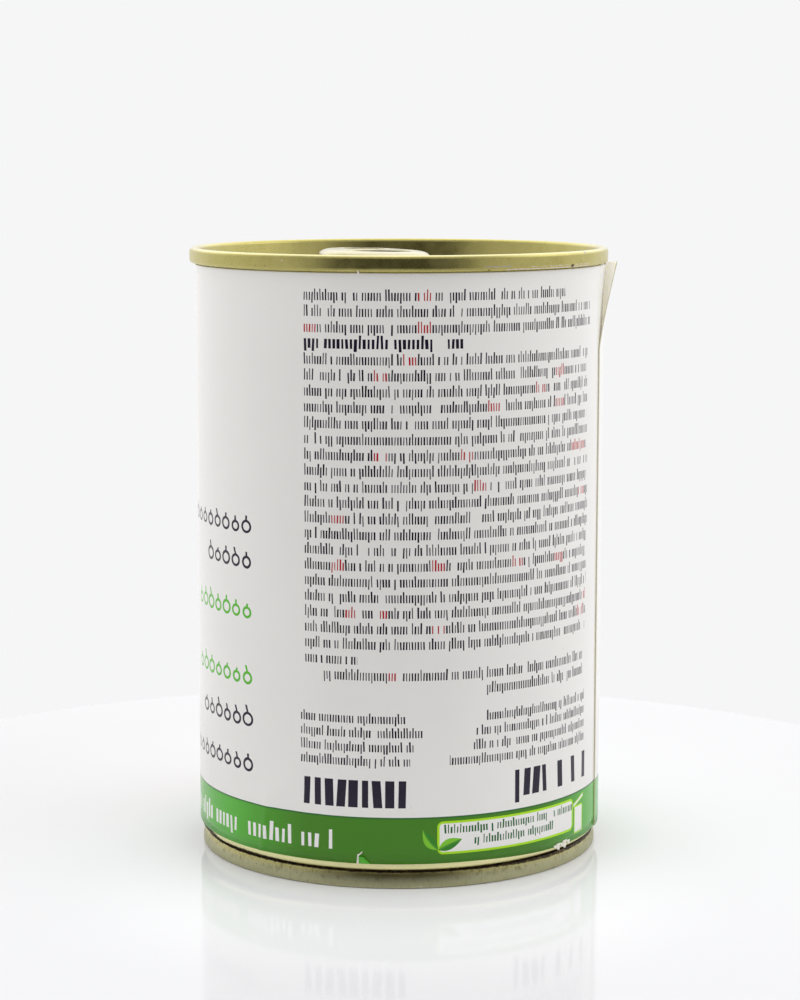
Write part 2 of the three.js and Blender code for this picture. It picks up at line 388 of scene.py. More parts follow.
def makeGold():
    look = goldFinish
    material, tree, shader = newMaterial("goldTinplate")
    vector = millimetres(tree)
    x, y, height = axes(tree, vector)
    grain = useGroup(tree, metalGrain, vector=vector, fine=7, coarse=0.3, around=0.2)
    colour = mixColour(tree, grain["Tone"].rise(0.32, 0.68), look["lacquerDeep"], look["lacquer"])

    # painted reflection: the strip above the foot is paled as if it mirrored the bright table, and the foot seam
    # is dull
    patchy = softNoise(tree, vector, 0.45)
    stripReflection = height.rise(look["footTop"], 3.2) * (1 - height.rise(5, 8))
    colour = mixColour(tree, stripReflection, colour, look["thinLacquer"])
    dull = 1 - height.rise(1.7, 2.6) * 0.7
    foot = height < look["footTop"]
    colour = mixColour(tree, dull * foot, colour, look["dullTin"])
    turn = x.math("ARCTAN2", -y)

    # brown stains and fine upright streaks on the foot seam, and painted shade darkening the top of its front
    streaks = useGroup(tree, metalGrain, vector=vector, fine=0.9, coarse=0.7, around=3.2)
    stain = streaks["Tone"].rise(0.48, 0.64) * height.rise(0.6, 2.3) * 0.6
    # painted shade: the top of the foot seam is darkened at its front, in the stain colour
    paintedFrontShade = (1 - turn.size().rise(0.1, 0.42)) * height.rise(1.5, 2.4) * 0.6
    streak = streaks["Height"].rise(0.52, 0.7) * 0.2
    colour = mixColour(tree, stain.most(paintedFrontShade).most(streak) * foot, colour, look["stain"])

    # painted shade in the gap over the foot seam, wider at the sides and mottled black and brown, and the edge
    # worn bare where the tin stands
    right = turn.rise(0.3, 0.85) * (1 - turn.rise(1.7, 2.6))
    ragged = (softNoise(tree, vector, 1.1) - 0.5) * 0.3 + (softNoise(tree, vector, 3.2) - 0.5) * 0.4
    edge = height + ragged + right * 0.38
    under = turn.size().rise(0.3, 0.85) * 0.45 + (-turn).rise(1.0, 1.3) * (1 - (-turn).rise(1.6, 2.2)) * 0.9
    # painted shade: the recess between the wall and the foot seam is coloured dark
    gap = edge.rise(2.72, 2.8) * (1 - (edge - under).rise(3.27, 3.39))
    paintedRecessShadeTone = mixColour(tree, softNoise(tree, vector, 1.7).rise(0.45, 0.66), look["gap"], look["gapBrown"])
    colour = mixColour(tree, gap, colour, paintedRecessShadeTone)
    worn = (1 - height.rise(0.05, 0.35)) * patchy.rise(0.4, 0.6)
    colour = mixColour(tree, worn * 0.55, colour, look["bareSteel"])

    # a painted highlight along the crest of the top seam, pale at the front and deep yellow behind
    crest = height.rise(109.55, 109.9)
    behind = y.rise(-5, 25)
    colour = mixColour(tree, crest * 0.28, colour, mixColour(tree, behind, look["crest"], look["crestDeep"]))

    # pale scuffs and dark specks along the two seams, and the marks on the top one
    seams = height.rise(107.2, 107.5).most(1 - height.rise(2.5, 2.7))
    scuff = useGroup(tree, flecks, vector=vector, cell=1.9, amount=0.04, fleck=0.12, seed=3)["Mask"] * seams
    colour = mixColour(tree, scuff * 0.6, colour, look["scuffPaint"])
    amount = foot * 0.12 + 0.06
    speck = useGroup(tree, flecks, vector=vector, cell=1.6, amount=amount, fleck=0.1, seed=11)["Mask"] * seams
    colour = mixColour(tree, speck * 0.7, colour, look["grime"])
    outside = (x * x + y * y).root() > look["seamInside"]
    around = turn * look["seamRadius"]
    for mark in seamMarks:
        (centre, level), (halfLength, halfHeight) = mark["at"], mark["half"]
        dash = useGroup(
            tree, dashMark, around=around, height=height, centre=centre, level=level,
            halfLength=halfLength, halfHeight=halfHeight, broken=mark["broken"],
        )["Mask"] * outside
        colour = mixColour(tree, dash * 0.9, colour, look[mark["ink"]])
        scuff = scuff.most(dash)

    plug(tree, colour, shader["Base Color"])
    plug(tree, 1 - (scuff * 0.6 + speck * 0.5).most(gap * 0.8), shader["Metallic"])
    rough = (grain["Gloss"] - 0.5) * 0.35 + look["roughness"] + scuff * 0.25 - crest * 0.1
    rough = rough + (1 - height.rise(1.7, 2.9)) * 0.12
    plug(tree, rough.most(gap * 0.6), shader["Roughness"])
    dents = softNoise(tree, vector, 0.16, detail=1)
    plug(tree, bumpFrom(tree, grain["Height"] * 0.02 + dents * 0.25, 0.35, mm), shader["Normal"])
    return material


gold = makeGold()


def makeWall():
    shape = wallShape
    inner = shape["plate"]
    bm = bmesh.new()
    drawSection(bm, [
        (shape["neckRadius"], shape["hookHeight"], 0),
        (shape["neckRadius"], shape["neckHeight"], 0.12),
        (shape["radius"], shape["neckHeight"], shape["neckBend"]),
        (shape["radius"], shape["flangeHeight"] - 0.5, 0.3),
        (shape["flange"], shape["flangeHeight"], 0),
        (shape["flange"] - 0.1, shape["flangeHeight"] + 0.15, 0),
        (shape["radius"] - inner, shape["flangeHeight"] - 0.3, 0.3),
        (shape["radius"] - inner, shape["neckHeight"] + inner, shape["neckBend"] - inner),
        (shape["neckRadius"] - inner, shape["neckHeight"] + inner, 0.3),
        (shape["neckRadius"] - inner, shape["hookHeight"], 0),
    ], closed=True)
    turnSection(bm, shape["steps"])
    evenShading(finishPiece("tin_wall", bm, [gold], "body"))


makeWall()


# The easy-open lid

lidShape = {
    "crown": 0.8,
    "seamWidth": 1.6,
    "seamHeight": 2.7,
    "seamCorner": 0.55,
    "panelDepth": 3.2,
    "grooveDepth": 4.4,
    "grooveRadius": 34.9,
    "grooveBend": 0.6,
    "plate": 0.35,
    "bead": {"radius": 27.2, "width": 1.9, "slope": 0.5, "depth": 0.3},
    "score": {"radius": 31.7, "halfWidth": 0.2, "depth": 0.14},
    "steps": 288,
}
pullPlace = {"angle": math.radians(107), "tilt": math.radians(1.2), "rivetRadius": 23, "lift": 0.4}
rivetShape = {"stem": 1.7, "head": 2.9, "headGap": 0.7, "headThickness": 0.65, "dimple": 0.35, "steps": 64}


def ringCorners(bead, panel):
    inner = bead["radius"] - bead["width"] / 2
    outer = bead["radius"] + bead["width"] / 2
    low = panel - bead["depth"]
    return [
        (inner, panel, 0.5), (inner + bead["slope"], low, 0.5),
        (outer - bead["slope"], low, 0.5), (outer, panel, 0.5),
    ]


def pullMatrix():
    turn = Matrix.Rotation(pullPlace["angle"], 4, "Z")
    spot = Vector((pullPlace["rivetRadius"], 0, lidPanel() + pullPlace["lift"]))
    return turn @ Matrix.Translation(spot) @ Matrix.Rotation(pullPlace["tilt"], 4, "X")


def lidPanel():
    return nodeSize("lid")[1].z - lidShape["panelDepth"]


def makeLid():
    shape = lidShape
    high = nodeSize("lid")[1]
    top, rim = high.z, high.x
    panel = lidPanel()
    groove = top - shape["grooveDepth"]
    bend = shape["grooveBend"]
    middle = shape["grooveRadius"]
    under = shape["plate"]
    score = shape["score"]
    seamFoot = top - shape["seamHeight"]
    bm = bmesh.new()
    drawSection(bm, [
        (0, panel, 0),
        *ringCorners(shape["bead"], panel),
        (score["radius"] - score["halfWidth"], panel, 0.08),
        (score["radius"], panel - score["depth"], 0.08),
        (score["radius"] + score["halfWidth"], panel, 0.08),
        (middle - bend, panel, bend * 0.95),
        (middle - bend, groove, bend * 0.95),
        (middle + bend, groove, bend * 0.95),
        (rim - shape["seamWidth"], top, shape["crown"] * 0.98),
        (rim, top, shape["crown"] * 0.98),
        (rim, seamFoot + shape["seamCorner"], 0.4),
        (rim - 0.18, seamFoot, 0.3),
        (rim - shape["seamWidth"] - 0.2, seamFoot, 0),
        (middle + bend + under, groove - under, bend + under * 0.8),
        (middle - bend - under, groove - under, bend + under * 0.8),
        (middle - bend - under, panel - under, 0.1),
        (0, panel - under, 0),
    ], closed=False)
    turnSection(bm, shape["steps"])

    # the rivet is drawn up out of the panel and headed over the pull
    rivet = rivetShape
    rivetBase = panel - under / 2
    headUnder = panel + pullPlace["lift"] + rivet["headGap"]
    headTop = headUnder + rivet["headThickness"]
    rivetForm = bmesh.new()
    drawSection(rivetForm, [
        (0, rivetBase, 0),
        (rivet["stem"] + 0.5, rivetBase, 0),
        (rivet["stem"], panel + 0.3, 0.3),
        (rivet["stem"], headUnder, 0.1),
        (rivet["head"], headUnder, 0.15),
        (rivet["head"], headTop, 0.4),
        (rivet["stem"] * 0.8, headTop, 0.4),
        (rivet["stem"] * 0.6, headTop - 0.3, 0.4),
        (0, headTop - rivet["dimple"], 0),
    ], closed=False)
    turnSection(rivetForm, rivet["steps"])
    spot = Matrix.Rotation(pullPlace["angle"], 4, "Z") @ Vector((pullPlace["rivetRadius"], 0, 0))
    bmesh.ops.translate(rivetForm, vec=spot, verts=rivetForm.verts)
    rivetMesh = bpy.data.meshes.new("rivetForm")
    rivetForm.to_mesh(rivetMesh)
    rivetForm.free()
    bm.from_mesh(rivetMesh)
    bpy.data.meshes.remove(rivetMesh)
    evenShading(finishPiece("tin_lid", bm, [gold], "lid"))


makeLid()


# The bottom end

footShape = {
    "seamHeight": 2.85,
    "corner": 0.45,
    "lean": 0.55,        # how far the seam leans in at its top
    "leanFrom": 1.9,
    "leanBend": 3.0,
    "flatInner": 35.3,
    "panelHeight": 3.3,
    "grooveRadius": 33.6,
    "grooveBend": 0.6,
    "grooveHeight": 4.5,
    "plate": 0.35,
    "beads": [
        {"radius": 17, "width": 3.4, "slope": 0.9, "depth": 0.45},
        {"radius": 25, "width": 3.4, "slope": 0.9, "depth": 0.45},
    ],
    "steps": 288,
}


def makeFoot():
    shape = footShape
    rim = nodeSize("base")[1].x
    panel, groove = shape["panelHeight"], shape["grooveHeight"]
    bend, middle, over = shape["grooveBend"], shape["grooveRadius"], shape["plate"]
    inner = shape["flatInner"] - shape["corner"]
    bm = bmesh.new()
    drawSection(bm, [
        (0, panel, 0),
        *[corner for bead in shape["beads"] for corner in ringCorners(bead, panel)],
        (middle - bend, panel, bend * 0.95),
        (middle - bend, groove, bend * 0.95),
        (middle + bend, groove, bend * 0.95),
        (inner, 0, shape["corner"] * 0.95),
        (rim, 0, shape["corner"]),
        (rim, shape["leanFrom"], shape["leanBend"]),
        (rim - shape["lean"], shape["seamHeight"], 0.15),
        (inner, shape["seamHeight"], 0),
        (middle + bend + over, groove + over, bend + over * 0.8),
        (middle - bend - over, groove + over, bend + over * 0.8),
        (middle - bend - over, panel + over, 0.1),
        (0, panel + over, 0),
    ], closed=False)
    turnSection(bm, shape["steps"])
    evenShading(finishPiece("tin_base", bm, [gold], "base"))


makeFoot()


# The ring pull

pullShape = {
    "halfWidth": 10.3,
    "ringCentre": -8.1,
    "noseLength": 15.3,
    "squareness": 2.05,
    "thickness": 1.5,
    "edge": 0.35,
    "dome": 2.3,
    "domeDrop": 1.15,
    "domeSteps": 7,
    "fingerCentre": -10.35,
    "fingerHalfLength": 4.75,
    "fingerHalfWidth": 6.9,
    "seatRadius": 4.3,
    "seatFloor": 0.45,
    "stemHole": 2.1,
    "steps": 96,
}
pullFinish = {"colour": srgb(197, 190, 161), "shade": srgb(185, 178, 144), "roughness": 0.24}


def blunt(value):
    return math.copysign(abs(value) ** (2 / pullShape["squareness"]), value)


def pullOutline(angle):
    # a half circle at the ring end and a blunt nose
    along, across = math.cos(angle), math.sin(angle)
    middle, wide = pullShape["ringCentre"], pullShape["halfWidth"]
    if along < 0:
        return middle + wide * along, wide * across
    return middle + pullShape["noseLength"] * blunt(along), wide * blunt(across)


def fingerOutline(angle):
    return (
        pullShape["fingerCentre"] + pullShape["fingerHalfLength"] * blunt(math.cos(angle)),
        pullShape["fingerHalfWidth"] * blunt(math.sin(angle)),
    )


def makePullMetal():
    look = pullFinish
    material, tree, shader = newMaterial("pullMetal")
    vector = millimetres(tree)
    grain = useGroup(tree, metalGrain, vector=vector, fine=5, coarse=0.4, around=0.6)
    colour = mixColour(tree, grain["Tone"].rise(0.3, 0.7), look["shade"], look["colour"])
    mark = useGroup(tree, flecks, vector=vector, cell=1.8, amount=0.1, fleck=0.15, seed=7)["Mask"]
    plug(tree, mixColour(tree, mark * 0.4, colour, goldFinish["grime"]), shader["Base Color"])
    shader["Metallic"].default_value = 1
    plug(tree, (grain["Gloss"] - 0.5) * 0.3 + look["roughness"], shader["Roughness"])
    plug(tree, bumpFrom(tree, grain["Height"], 0.12, mm * 0.1), shader["Normal"])
    return material


def makePull():
    shape = pullShape
    steps = shape["steps"]
    bm = bmesh.new()

    def loop(outline, height):
        made = bmesh.ops.create_circle(bm, segments=steps, radius=1, cap_ends=False)["verts"]
        for vert in made:
            x, y = outline(math.atan2(vert.co.y, vert.co.x))
            vert.co = (x, y, height)
        return sorted({edge for vert in made for edge in vert.link_edges}, key=lambda edge: edge.index)

    def disc(radius):
        return lambda angle: (radius * math.cos(angle), radius * math.sin(angle))

    def shrunk(inset):
        middle, share = shape["ringCentre"], 1 - inset / shape["halfWidth"]

        def outline(angle):
            x, y = pullOutline(angle)
            along = share if x < middle else 1 - inset / shape["noseLength"]
            return middle + (x - middle) * along, y * share
        return outline

    def join(*loops):
        for lower, upper in zip(loops, loops[1:]):
            bmesh.ops.bridge_loops(bm, edges=lower + upper)

    # the outer edge is curled under: it rises from a thin lip to the top in a quarter of an oval
    top = shape["thickness"]
    curl = []
    for step in range(shape["domeSteps"] + 1):
        turn = math.pi / 2 * step / shape["domeSteps"]
        inset = shape["dome"] * (1 - math.cos(turn))
        curl.append(loop(shrunk(inset), top - shape["domeDrop"] * (1 - math.sin(turn))))
    outerLow, outerHigh = loop(pullOutline, 0), curl[-1]
    fingerLow, fingerHigh = loop(fingerOutline, 0), loop(fingerOutline, top)
    seat, stem, floor = disc(shape["seatRadius"]), disc(shape["stemHole"]), shape["seatFloor"]
    seatHigh, seatLow = loop(seat, top), loop(seat, floor)
    stemHigh, stemLow = loop(stem, floor), loop(stem, 0)
    join(outerLow, *curl)
    join(fingerLow, fingerHigh)
    join(seatHigh, seatLow, stemHigh, stemLow)
    bmesh.ops.triangle_fill(bm, use_beauty=True, use_dissolve=False, edges=outerHigh + fingerHigh + seatHigh)
    bmesh.ops.triangle_fill(bm, use_beauty=True, use_dissolve=False, edges=outerLow + fingerLow + stemLow)
    bmesh.ops.recalc_face_normals(bm, faces=bm.faces)
    bmesh.ops.bevel(
        bm, geom=fingerLow + fingerHigh, offset=shape["edge"], offset_type="OFFSET",
        segments=5, profile=0.5, affect="EDGES", material=-1, clamp_overlap=False,
    )
    bmesh.ops.transform(bm, matrix=pullMatrix(), verts=bm.verts)
    evenShading(finishPiece("ring_pull_tab", bm, [makePullMetal()], "ring_pull"))


makePull()
print("metal pieces done")


# The paper label: cut flat, wrapped round the wall, its outer end over its inner one

labelShape = {
    "bottom": 4.6,
    "top": 107,
    "innerRadius": 36.85,
    "paper": 0.15,
    "layerGap": 0.05,
    "start": 1,
    "sweep": 376,
    "lapFrom": 350,
    "lapTo": 359,
    "columns": 470,
    "rows": 72,
    "crowding": 1.5,
    "printRadius": 37.1,
    "front": 91,
    "wave": 0.05,
    "sag": 0.42,
}
looseCorner = {
    "from": 16,
    "foot": 92,
    "lift": 2.5,
    "rise": 1.38,
    "curve": 1.9,
    "back": 8,           # how far its edge is bent back round the tin, in degrees
    "raised": 0.45,
    "under": 0.6,        # how far the layer under it stands off at the top
    "underRise": 2.6,
}


def cornerLift(swept, height):
    # how far the paper stands off, is bent back and is raised
    corner = looseCorner
    angle = labelShape["start"] - swept
    up = min(1, max(0, (height - corner["foot"]) / (labelShape["top"] - corner["foot"])))
    if swept < 180:
        return corner["under"] * smoothStep(-26, -6, angle) * up ** corner["underRise"], 0, 0
    end = labelShape["start"] - labelShape["sweep"]
    along = min(1, max(0, (corner["from"] - 360 - angle) / (corner["from"] - 360 - end)))
    lift = corner["lift"] * along ** corner["curve"] * up ** corner["rise"]
    return lift, corner["back"] * along ** 2 * up, corner["raised"] * along ** 2 * up ** 2


def lowEdge(swept):
    # the lower edge of the paper sags a little on the right
    side = (labelShape["front"] - swept) % 360
    sag = labelShape["sag"] * smoothStep(18, 48, side) * (1 - smoothStep(100, 150, side))
    return labelShape["bottom"] - sag


# soft creases, from one point on the paper to another: (across, height)
creases = [
    {"start": (-26.6, 4.6), "end": (-24.8, 13.5), "width": 0.8, "depth": 0.36},
    {"start": (-16.8, 5.5), "end": (-14.6, 13.0), "width": 1.0, "depth": -0.14},
    {"start": (-27.0, 13.0), "end": (-18.0, 20.5), "width": 1.2, "depth": 0.3},
    {"start": (-21.0, 11.0), "end": (-13.0, 23.0), "width": 1.4, "depth": -0.12},
    {"start": (-30.0, 99.0), "end": (-28.0, 70.0), "width": 2.4, "depth": 0.06},
    {"start": (-90.0, 22.0), "end": (-70.0, 30.0), "width": 1.6, "depth": 0.07},
    {"start": (-150.0, 92.0), "end": (-140.0, 60.0), "width": 2.0, "depth": -0.07},
]


def paperWave(swept, height):
    # the paper lies on the tin with slight long waves and a few soft creases
    spot = Vector((swept * 0.05, height * 0.03, 2.7))
    wave = labelShape["wave"] * noise.noise(spot)
    flat = Vector((printAcross(swept), height))
    for crease in creases:
        start, end = Vector(crease["start"]), Vector(crease["end"])
        line = end - start
        share = min(1, max(0, (flat - start).dot(line) / line.length_squared))
        away = (flat - start - line * share).length / crease["width"]
        if away < 3:
            wave += crease["depth"] * math.exp(-away * away) * math.sin(math.pi * (0.15 + 0.7 * share))
    return wave


def wrap(swept, height, layer):
    # layer is 0 on the inside of the paper and 1 on its printed side
    shape = labelShape
    lap = smoothStep(shape["lapFrom"], shape["lapTo"], swept) * (shape["paper"] + shape["layerGap"])
    lift, back, raised = cornerLift(swept, height)
    radius = shape["innerRadius"] + shape["paper"] * layer + lap + lift
    radius = radius + shape["wave"] + paperWave(swept, height)
    turn = math.radians(shape["start"] - swept + back)
    return Vector((radius * math.cos(turn), radius * math.sin(turn), height + raised))


def printAcross(swept):
    return math.radians(labelShape["front"] - swept) * labelShape["printRadius"]


def sweptAt(across):
    return labelShape["front"] - math.degrees(across / labelShape["printRadius"])


# torn bits at the paper's edges: across, height, length, width, lean, how far they stand off, paper side
scraps = [
    (-7.15, 4.6, 1.7, 0.5, 0.02, 0.1, "torn"),
    (-7.1, 6.0, 0.8, 0.42, 0.95, 0.2, "torn"),
    (-6.0, 4.6, 1.25, 2.0, -0.45, 0.25, "text"),
    (31.7, 4.5, -0.6, 1.3, 0.2, 0.15, "torn"),
    (32.6, 4.7, -1.1, 1.3, -0.3, 0.25, "torn"),
    (33.6, 4.6, -0.7, 1.5, 0.1, 0.2, "torn"),
    (34.6, 4.9, -1.3, 1.5, -0.25, 0.2, "torn"),
    (35.7, 4.7, -0.7, 1.3, 0.1, 0.15, "torn"),
    (-6.9, 106.9, 0.55, 0.4, 0.2, 0.9, "torn"),
]
paperSides = {"text": 0, "bare": 1, "front": 2, "back": 3, "torn": 4}    # the order of the label's materials
bakeSheet = {"left": 0.004, "width": 0.992, "low": 0.57, "tall": 0.42, "bareDrop": 0.43, "rims": 0.05}
scrapInk = 50, 8    # the printed spot whose colour the torn bits take: (across, height)
scrapTaper = 0.6


def outwardness(faces):
    return sum(face.normal.dot(face.calc_center_median().xy.to_3d()) for face in faces)


def addScrap(bm, scrap, printMap, bakeMap):
    # a small tapered tongue of paper, bent off the tin
    start, foot, length, width, lean, stand, paperSide = scrap
    made = bmesh.ops.create_grid(bm, x_segments=2, y_segments=5, size=0.5)["verts"]
    faces = list({face for vert in made for face in vert.link_faces})
    for vert in made:
        side, up = vert.co.x, vert.co.y + 0.5
        across = start + side * width * (1 - up * scrapTaper) + lean * up * abs(length)
        height = foot + up * length
        for corner in vert.link_loops:
            corner[printMap].uv = scrapInk[0] + side * 0.3, scrapInk[1] + up
            corner[bakeMap].uv = 0.01 + 0.003 * scraps.index(scrap) + side * 0.002, 0.01 + up * 0.01
        spot = wrap(sweptAt(across), height, 1)
        outward = spot.xy.to_3d().normalized()
        vert.co = spot + outward * (0.02 + stand * up * up)
    bmesh.ops.recalc_face_normals(bm, faces=faces)
    if outwardness(faces) < 0:
        bmesh.ops.reverse_faces(bm, faces=faces)
    for face in faces:
        face.material_index = paperSides[paperSide]
    bmesh.ops.solidify(bm, geom=faces, thickness=0.08)


def makeLabelMesh(materials):
    shape, sheet = labelShape, bakeSheet
    bm = bmesh.new()
    bmesh.ops.create_grid(bm, x_segments=shape["columns"], y_segments=shape["rows"], size=0.5)
    printMap = bm.loops.layers.uv.new("labelPrint")
    bakeMap = bm.loops.layers.uv.new("OFBake")
    span = shape["top"] - shape["bottom"]
    flat = {}
    for vert in bm.verts:
        swept = (0.5 - vert.co.x) * shape["sweep"]
        up = vert.co.y + 0.5
        rowUp = 1 - (1 - up) ** shape["crowding"]
        low = lowEdge(swept)
        flat[vert] = swept, low + rowUp * (shape["top"] - low)

    printed = bm.faces[:]
    for face in printed:
        for corner in face.loops:
            swept, height = flat[corner.vert]
            corner[printMap].uv = printAcross(swept), height
            across = 1 - swept / shape["sweep"]
            up = sheet["low"] + sheet["tall"] * (height - shape["bottom"]) / span
            corner[bakeMap].uv = sheet["left"] + sheet["width"] * across, up
        middle = sum(corner[printMap].uv.x for corner in face.loops) / len(face.loops)
        if middle < printShape["panelEdge"]:
            face.material_index = paperSides["front" if middle > printShape["backEdge"] else "back"]

    # the bare side is a copy inside the printed one, and the rims join the two
    copied = bmesh.ops.duplicate(bm, geom=printed)
    pairs = copied["vert_map"].items()
    twin = {after: before for before, after in pairs if before in flat and after not in flat}
    backs = [part for part in copied["geom"] if isinstance(part, bmesh.types.BMFace)]
    for after, before in twin.items():
        flat[after] = flat[before]
    for face in backs:
        face.material_index = paperSides["bare"]
        for corner in face.loops:
            corner[bakeMap].uv.y -= sheet["bareDrop"]
    for vert, (swept, height) in flat.items():
        vert.co = wrap(swept, height, 0 if vert in twin else 1)
    bmesh.ops.reverse_faces(bm, faces=backs)
    rims = [edge for edge in bm.edges if edge.is_boundary]
    for face in bmesh.ops.bridge_loops(bm, edges=rims)["faces"]:
        face.material_index = paperSides["torn"]
        for corner in face.loops:
            swept, height = flat[corner.vert]
            across = sheet["left"] + 0.9 * swept / shape["sweep"] + 0.05 * height / span
            corner[printMap].uv = printAcross(swept), height
            corner[bakeMap].uv = across, sheet["rims"] + (0 if corner.vert in twin else 0.01)
    if outwardness(printed[:200]) < 0:
        bmesh.ops.reverse_faces(bm, faces=bm.faces)
    for scrap in scraps:
        addScrap(bm, scrap, printMap, bakeMap)
    return finishPiece("paper_label", bm, materials, "label")


# Shapes of the print

def makeMarkRowsGroup():
    # rows of small upright ticks in groups, where a tin has its small print
    group, entry, leave = newGroup(
        "markRows",
        {
            "Across": 0.0, "Height": 0.0, "Left": 0.0, "Top": 10.0, "Pitch": 2.7, "Rows": 1.0,
            "Letter": 0.5, "Weight": 0.5, "Tall": 0.3, "Seed": 0.0,
        },
        ["Mask", "Accent"],
    )
    across, height, left, top, pitch, rows, letter, weight, tall, seed = entry
    fall = (top - height) / pitch
    row, down = fall.floor(), fall.share()
    count = (across - left) / letter
    cell, along = count.floor(), count.share()
    dice = whiteNoise(group, cell, row, seed)
    isTall = tall > dice[1]
    isDeep = dice[1] > 0.92
    lean = (down - 0.6) * (dice[3] - 0.5) * 0.5
    half = weight * (0.34 + dice[2] * 0.3)
    stem = (along - 0.5 - lean).size() < half
    stem = stem * (down > 0.29 - isTall * 0.21) * (down < 0.8 + isDeep * 0.16)
    kept = (dice[0] > 0.14).most(cell < 2)
    mask = (fall > 0) * (fall < rows) * (cell > -0.5) * kept * stem
    accentDice = whiteNoise(group, (cell / 5).floor(), row, seed + 9)
    plug(group, mask, leave.inputs["Mask"])
    plug(group, mask * (accentDice[0] > 0.95), leave.inputs["Accent"])
    return group


def makeBoxGroup():
    # distance in millimetres to a box with round corners, below 0 inside it
    group, entry, leave = newGroup(
        "roundBox",
        {
            "Across": 0.0, "Height": 0.0, "Centre X": 0.0, "Centre Z": 0.0,
            "Half Width": 1.0, "Half Height": 1.0, "Corner": 0.3,
        },
        ["Distance"],
    )
    across, height, centreX, centreZ, halfWidth, halfHeight, corner = entry
    outX = (across - centreX).size() - halfWidth + corner
    outZ = (height - centreZ).size() - halfHeight + corner
    pastX, pastZ = outX.most(0), outZ.most(0)
    distance = (pastX * pastX + pastZ * pastZ).root() + outX.most(outZ).least(0) - corner
    plug(group, distance, leave.inputs["Distance"])
    return group


def makeLeafGroup():
    # a pointed leaf from its stalk to its tip: Vein is its middle line, Side runs across it
    group, entry, leave = newGroup(
        "leafShape",
        {
            "Across": 0.0, "Height": 0.0, "Stalk X": 0.0, "Stalk Z": 0.0,
            "Angle": 0.0, "Length": 5.0, "Half Width": 1.0, "Bend": 0.0,
        },
        ["Mask", "Vein", "Side"],
    )
    across, height, stalkX, stalkZ, angle, length, halfWidth, bend = entry
    offX, offZ = across - stalkX, height - stalkZ
    cosine, sine = angle.math("COSINE"), angle.math("SINE")
    along = (offX * cosine + offZ * sine) / length
    bow = along * (1 - along)
    side = offZ * cosine - offX * sine - bend * bow * 4
    inside = (along > 0) * (along < 1)
    reach = halfWidth * 4.4 * bow * (1.25 - along * 0.5)
    plug(group, inside * (reach - side.size()).rise(0, 0.05), leave.inputs["Mask"])
    vein = inside * (along < 0.93) * (halfWidth * 0.09 - side.size()).rise(0, 0.05)
    plug(group, vein, leave.inputs["Vein"])
    plug(group, side / halfWidth * 0.5 + 0.5, leave.inputs["Side"])
    return group


def makeFruitRowGroup():
    # a row of small outlined tomatoes, set from the right: Fruits counts them
    group, entry, leave = newGroup(
        "fruitRow",
        {
            "Across": 0.0, "Height": 0.0, "Right": 0.0, "Base": 0.0, "Fruits": 6.0,
            "Size": 3.0, "Stroke": 0.36, "Seed": 0.0,
        },
        ["Mask"],
    )
    across, height, right, base, fruits, size, stroke, seed = entry
    count = (right - across) / size
    cell, along = count.floor(), count.share()
    dice = whiteNoise(group, cell, seed, 0.61)
    radius = size * (0.37 + dice[1] * 0.1)
    offX = (along - 0.5) * size
    offZ = height - base - radius
    flat = offZ * (1.04 + dice[3] * 0.14)
    away = (offX * offX + flat * flat).root()
    half = stroke * 0.5
    ring = (away - radius + half).size() < half
    top = offZ - radius * 0.82
    calyx = ((offX.size() * 0.55 + top).size() < half) * (offX.size() < radius * 0.5)
    stalk = ((offX - top * (dice[2] - 0.5) * 0.8).size() < half) * (top > 0)
    stalk = stalk * (top < radius * (0.35 + dice[2] * 0.6))
    inside = (count > 0) * (count < fruits)
    plug(group, inside * ring.most(calyx).most(stalk), leave.inputs["Mask"])
    return group


def makeTomatoGroup():
    # a round tomato with its calyx: Depth darkens it towards its edge, Shine is its highlight
    group, entry, leave = newGroup(
        "tomatoShape",
        {"Across": 0.0, "Height": 0.0, "Centre X": 0.0, "Centre Z": 0.0, "Radius": 10.0, "Turn": 0.0},
        ["Mask", "Depth", "Shine", "Calyx"],
    )
    across, height, centreX, centreZ, radius, turn = entry
    offX, offZ = (across - centreX) / radius, (height - centreZ) / radius * 1.1
    bearing = offZ.math("ARCTAN2", offX)
    lobes = (bearing * 5 + turn).math("COSINE") * 0.02
    away = (offX * offX + offZ * offZ).root() + lobes
    lightX, lightZ = offX + 0.3, offZ - 0.35
    depth = (lightX * lightX + lightZ * lightZ).root()
    shineX, shineZ = offX + 0.42, (offZ - 0.4) * 1.6
    shine = 0.2 - (shineX * shineX + shineZ * shineZ).root()
    starX, starZ = offX - 0.05, (offZ - 0.55) * 1.5
    star = (starX * starX + starZ * starZ).root()
    points = (starZ.math("ARCTAN2", starX) * 3 + turn).math("COSINE").size().math("POWER", 3.0)
    plug(group, (1 - away).rise(0, 0.02), leave.inputs["Mask"])
    plug(group, depth.rise(0.2, 1.35), leave.inputs["Depth"])
    plug(group, shine.rise(0, 0.14), leave.inputs["Shine"])
    plug(group, (points * 0.5 + 0.09 - star).rise(0, 0.03), leave.inputs["Calyx"])
    return group


markRows = makeMarkRowsGroup()
roundBox = makeBoxGroup()
leafShape = makeLeafGroup()
fruitRow = makeFruitRowGroup()
tomatoShape = makeTomatoGroup()

